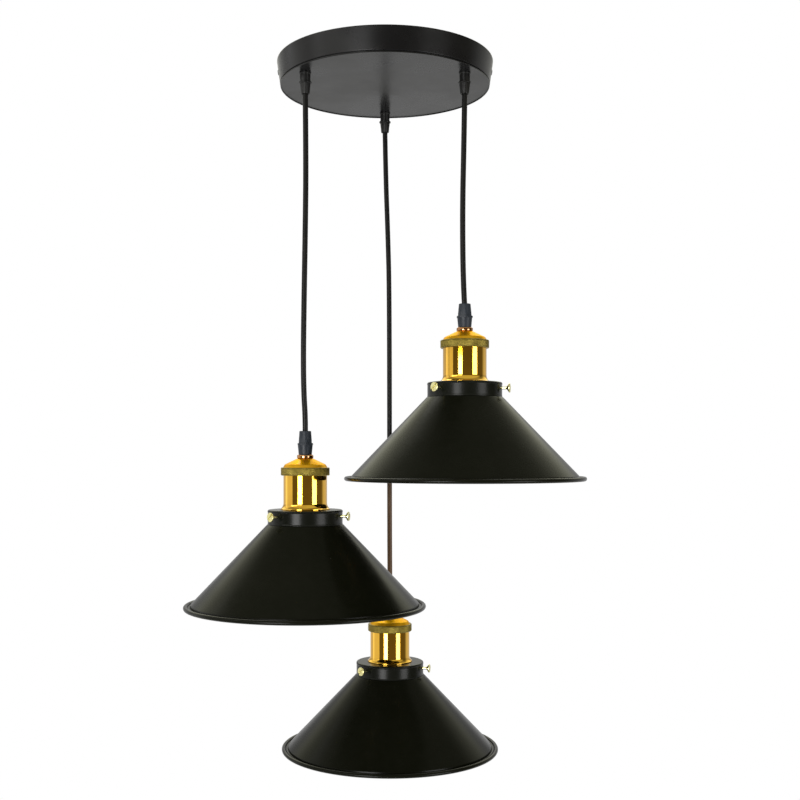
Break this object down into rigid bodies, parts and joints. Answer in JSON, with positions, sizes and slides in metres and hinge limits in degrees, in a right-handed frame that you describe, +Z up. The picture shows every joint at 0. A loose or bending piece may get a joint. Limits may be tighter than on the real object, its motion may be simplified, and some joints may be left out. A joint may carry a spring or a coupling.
{
  "type": "multi-lamp pendant light",
  "caption": "Cluster pendant light: a round ceiling canopy with cords of unequal length, each with a brass screw holder and a black conical metal shade.",
  "frame": {"origin": "middle of the ceiling face: the plane of the canopy's rim and the strap's top, between the two ceiling slots", "axes": "+Z up to the ceiling, +X to the right as seen from the viewer, who stands on the -Y side"},
  "size_m": [0.3654, 0.346, 0.6712],
  "materials": {
    "canopy_paint": "satin black",
    "shade_paint": "satin black outside",
    "black_steel": "satin black",
    "zinc_steel": "zinc plated",
    "dark_steel": "blackened",
    "grip_plastic": "moulded, slightly glossy",
    "white_nylon": "moulded",
    "cord_sheath": "smooth round sheath",
    "wire_insulation": "brown, blue and green-yellow cores",
    "copper_bead": "reddish, polished",
    "antique_brass": "matte, olive brown",
    "polished_brass": "polished",
    "plain_brass": "plain",
    "porcelain": "glazed, opaque"
  },
  "bodies": {
    "canopy": {"canopy_cover": "canopy_paint", "mounting_bracket": "zinc_steel", "canopy_side_screws": "dark_steel", "terminal_block": "white_nylon", "terminal_clamps": "plain_brass", "terminal_screws": "zinc_steel", "bracket_screws": "zinc_steel", "canopy_grips": "grip_plastic", "canopy_grip_caps": "grip_plastic", "canopy_grip_nuts": "grip_plastic", "canopy_wiring": "wire_insulation"},
    "left_cord": {"left_cord": "cord_sheath"},
    "left_lamp": {"left_wires": "wire_insulation", "left_grip_cap": "grip_plastic", "left_grip_body": "grip_plastic", "left_nipple": "copper_bead", "left_holder_cap": "antique_brass", "left_holder_shell": "polished_brass", "left_porcelain_insert": "porcelain", "left_thread_shell": "plain_brass", "left_contacts": "plain_brass", "left_shade_ring_nut": "black_steel", "left_gallery_collar": "black_steel", "left_shade": "shade_paint"},
    "left_thumb_screw_1": {"left_thumb_screw_1": "plain_brass"},
    "left_thumb_screw_2": {"left_thumb_screw_2": "plain_brass"},
    "left_thumb_screw_3": {"left_thumb_screw_3": "plain_brass"},
    "right_cord": {"right_cord": "cord_sheath"},
    "right_lamp": {"right_wires": "wire_insulation", "right_grip_cap": "grip_plastic", "right_grip_body": "grip_plastic", "right_nipple": "copper_bead", "right_holder_cap": "antique_brass", "right_holder_shell": "polished_brass", "right_porcelain_insert": "porcelain", "right_thread_shell": "plain_brass", "right_contacts": "plain_brass", "right_shade_ring_nut": "black_steel", "right_gallery_collar": "black_steel", "right_shade": "shade_paint"},
    "right_thumb_screw_1": {"right_thumb_screw_1": "plain_brass"},
    "right_thumb_screw_2": {"right_thumb_screw_2": "plain_brass"},
    "right_thumb_screw_3": {"right_thumb_screw_3": "plain_brass"},
    "back_cord": {"back_cord": "cord_sheath"},
    "back_lamp": {"back_wires": "wire_insulation", "back_grip_cap": "grip_plastic", "back_grip_body": "grip_plastic", "back_nipple": "copper_bead", "back_holder_cap": "antique_brass", "back_holder_shell": "polished_brass", "back_porcelain_insert": "porcelain", "back_thread_shell": "plain_brass", "back_contacts": "plain_brass", "back_shade_ring_nut": "black_steel", "back_gallery_collar": "black_steel", "back_shade": "shade_paint"},
    "back_thumb_screw_1": {"back_thumb_screw_1": "plain_brass"},
    "back_thumb_screw_2": {"back_thumb_screw_2": "plain_brass"},
    "back_thumb_screw_3": {"back_thumb_screw_3": "plain_brass"}
  },
  "joints": [
    {"name": "left_swing", "type": "hinge", "parent": "canopy", "child": "left_cord", "pos_m": [-0.07275, -0.042, -0.0408], "axis": [-0.5, 0.866, 0], "range_deg": [-1.2, 20]},
    {"name": "left_twist", "type": "hinge", "parent": "left_cord", "child": "left_lamp", "pos_m": [-0.07275, -0.042, -0.374], "axis": [0, 0, 1], "range_deg": [-180, 180]},
    {"name": "left_thumb_screw_1_travel", "type": "slide", "parent": "left_lamp", "child": "left_thumb_screw_1", "axis": [-0.7071, -0.7071, 0], "range_m": [0, 0.004]},
    {"name": "left_thumb_screw_2_travel", "type": "slide", "parent": "left_lamp", "child": "left_thumb_screw_2", "axis": [0.9659, -0.2588, 0], "range_m": [0, 0.004]},
    {"name": "left_thumb_screw_3_travel", "type": "slide", "parent": "left_lamp", "child": "left_thumb_screw_3", "axis": [-0.2588, 0.9659, 0], "range_m": [0, 0.004]},
    {"name": "right_swing", "type": "hinge", "parent": "canopy", "child": "right_cord", "pos_m": [0.07275, -0.042, -0.0408], "axis": [-0.5, -0.866, 0], "range_deg": [-1.2, 20]},
    {"name": "right_twist", "type": "hinge", "parent": "right_cord", "child": "right_lamp", "pos_m": [0.07275, -0.042, -0.258], "axis": [0, 0, 1], "range_deg": [-180, 180]},
    {"name": "right_thumb_screw_1_travel", "type": "slide", "parent": "right_lamp", "child": "right_thumb_screw_1", "axis": [-0.7071, -0.7071, 0], "range_m": [0, 0.004]},
    {"name": "right_thumb_screw_2_travel", "type": "slide", "parent": "right_lamp", "child": "right_thumb_screw_2", "axis": [0.9659, -0.2588, 0], "range_m": [0, 0.004]},
    {"name": "right_thumb_screw_3_travel", "type": "slide", "parent": "right_lamp", "child": "right_thumb_screw_3", "axis": [-0.2588, 0.9659, 0], "range_m": [0, 0.004]},
    {"name": "back_swing", "type": "hinge", "parent": "canopy", "child": "back_cord", "pos_m": [0, 0.084, -0.0408], "axis": [1, 0, 0], "range_deg": [-1.2, 20]},
    {"name": "back_twist", "type": "hinge", "parent": "back_cord", "child": "back_lamp", "pos_m": [0.005, 0.084, -0.535], "axis": [0, 0, 1], "range_deg": [-180, 180]},
    {"name": "back_thumb_screw_1_travel", "type": "slide", "parent": "back_lamp", "child": "back_thumb_screw_1", "axis": [-0.7071, -0.7071, 0], "range_m": [0, 0.004]},
    {"name": "back_thumb_screw_2_travel", "type": "slide", "parent": "back_lamp", "child": "back_thumb_screw_2", "axis": [0.9659, -0.2588, 0], "range_m": [0, 0.004]},
    {"name": "back_thumb_screw_3_travel", "type": "slide", "parent": "back_lamp", "child": "back_thumb_screw_3", "axis": [-0.2588, 0.9659, 0], "range_m": [0, 0.004]}
  ]
}
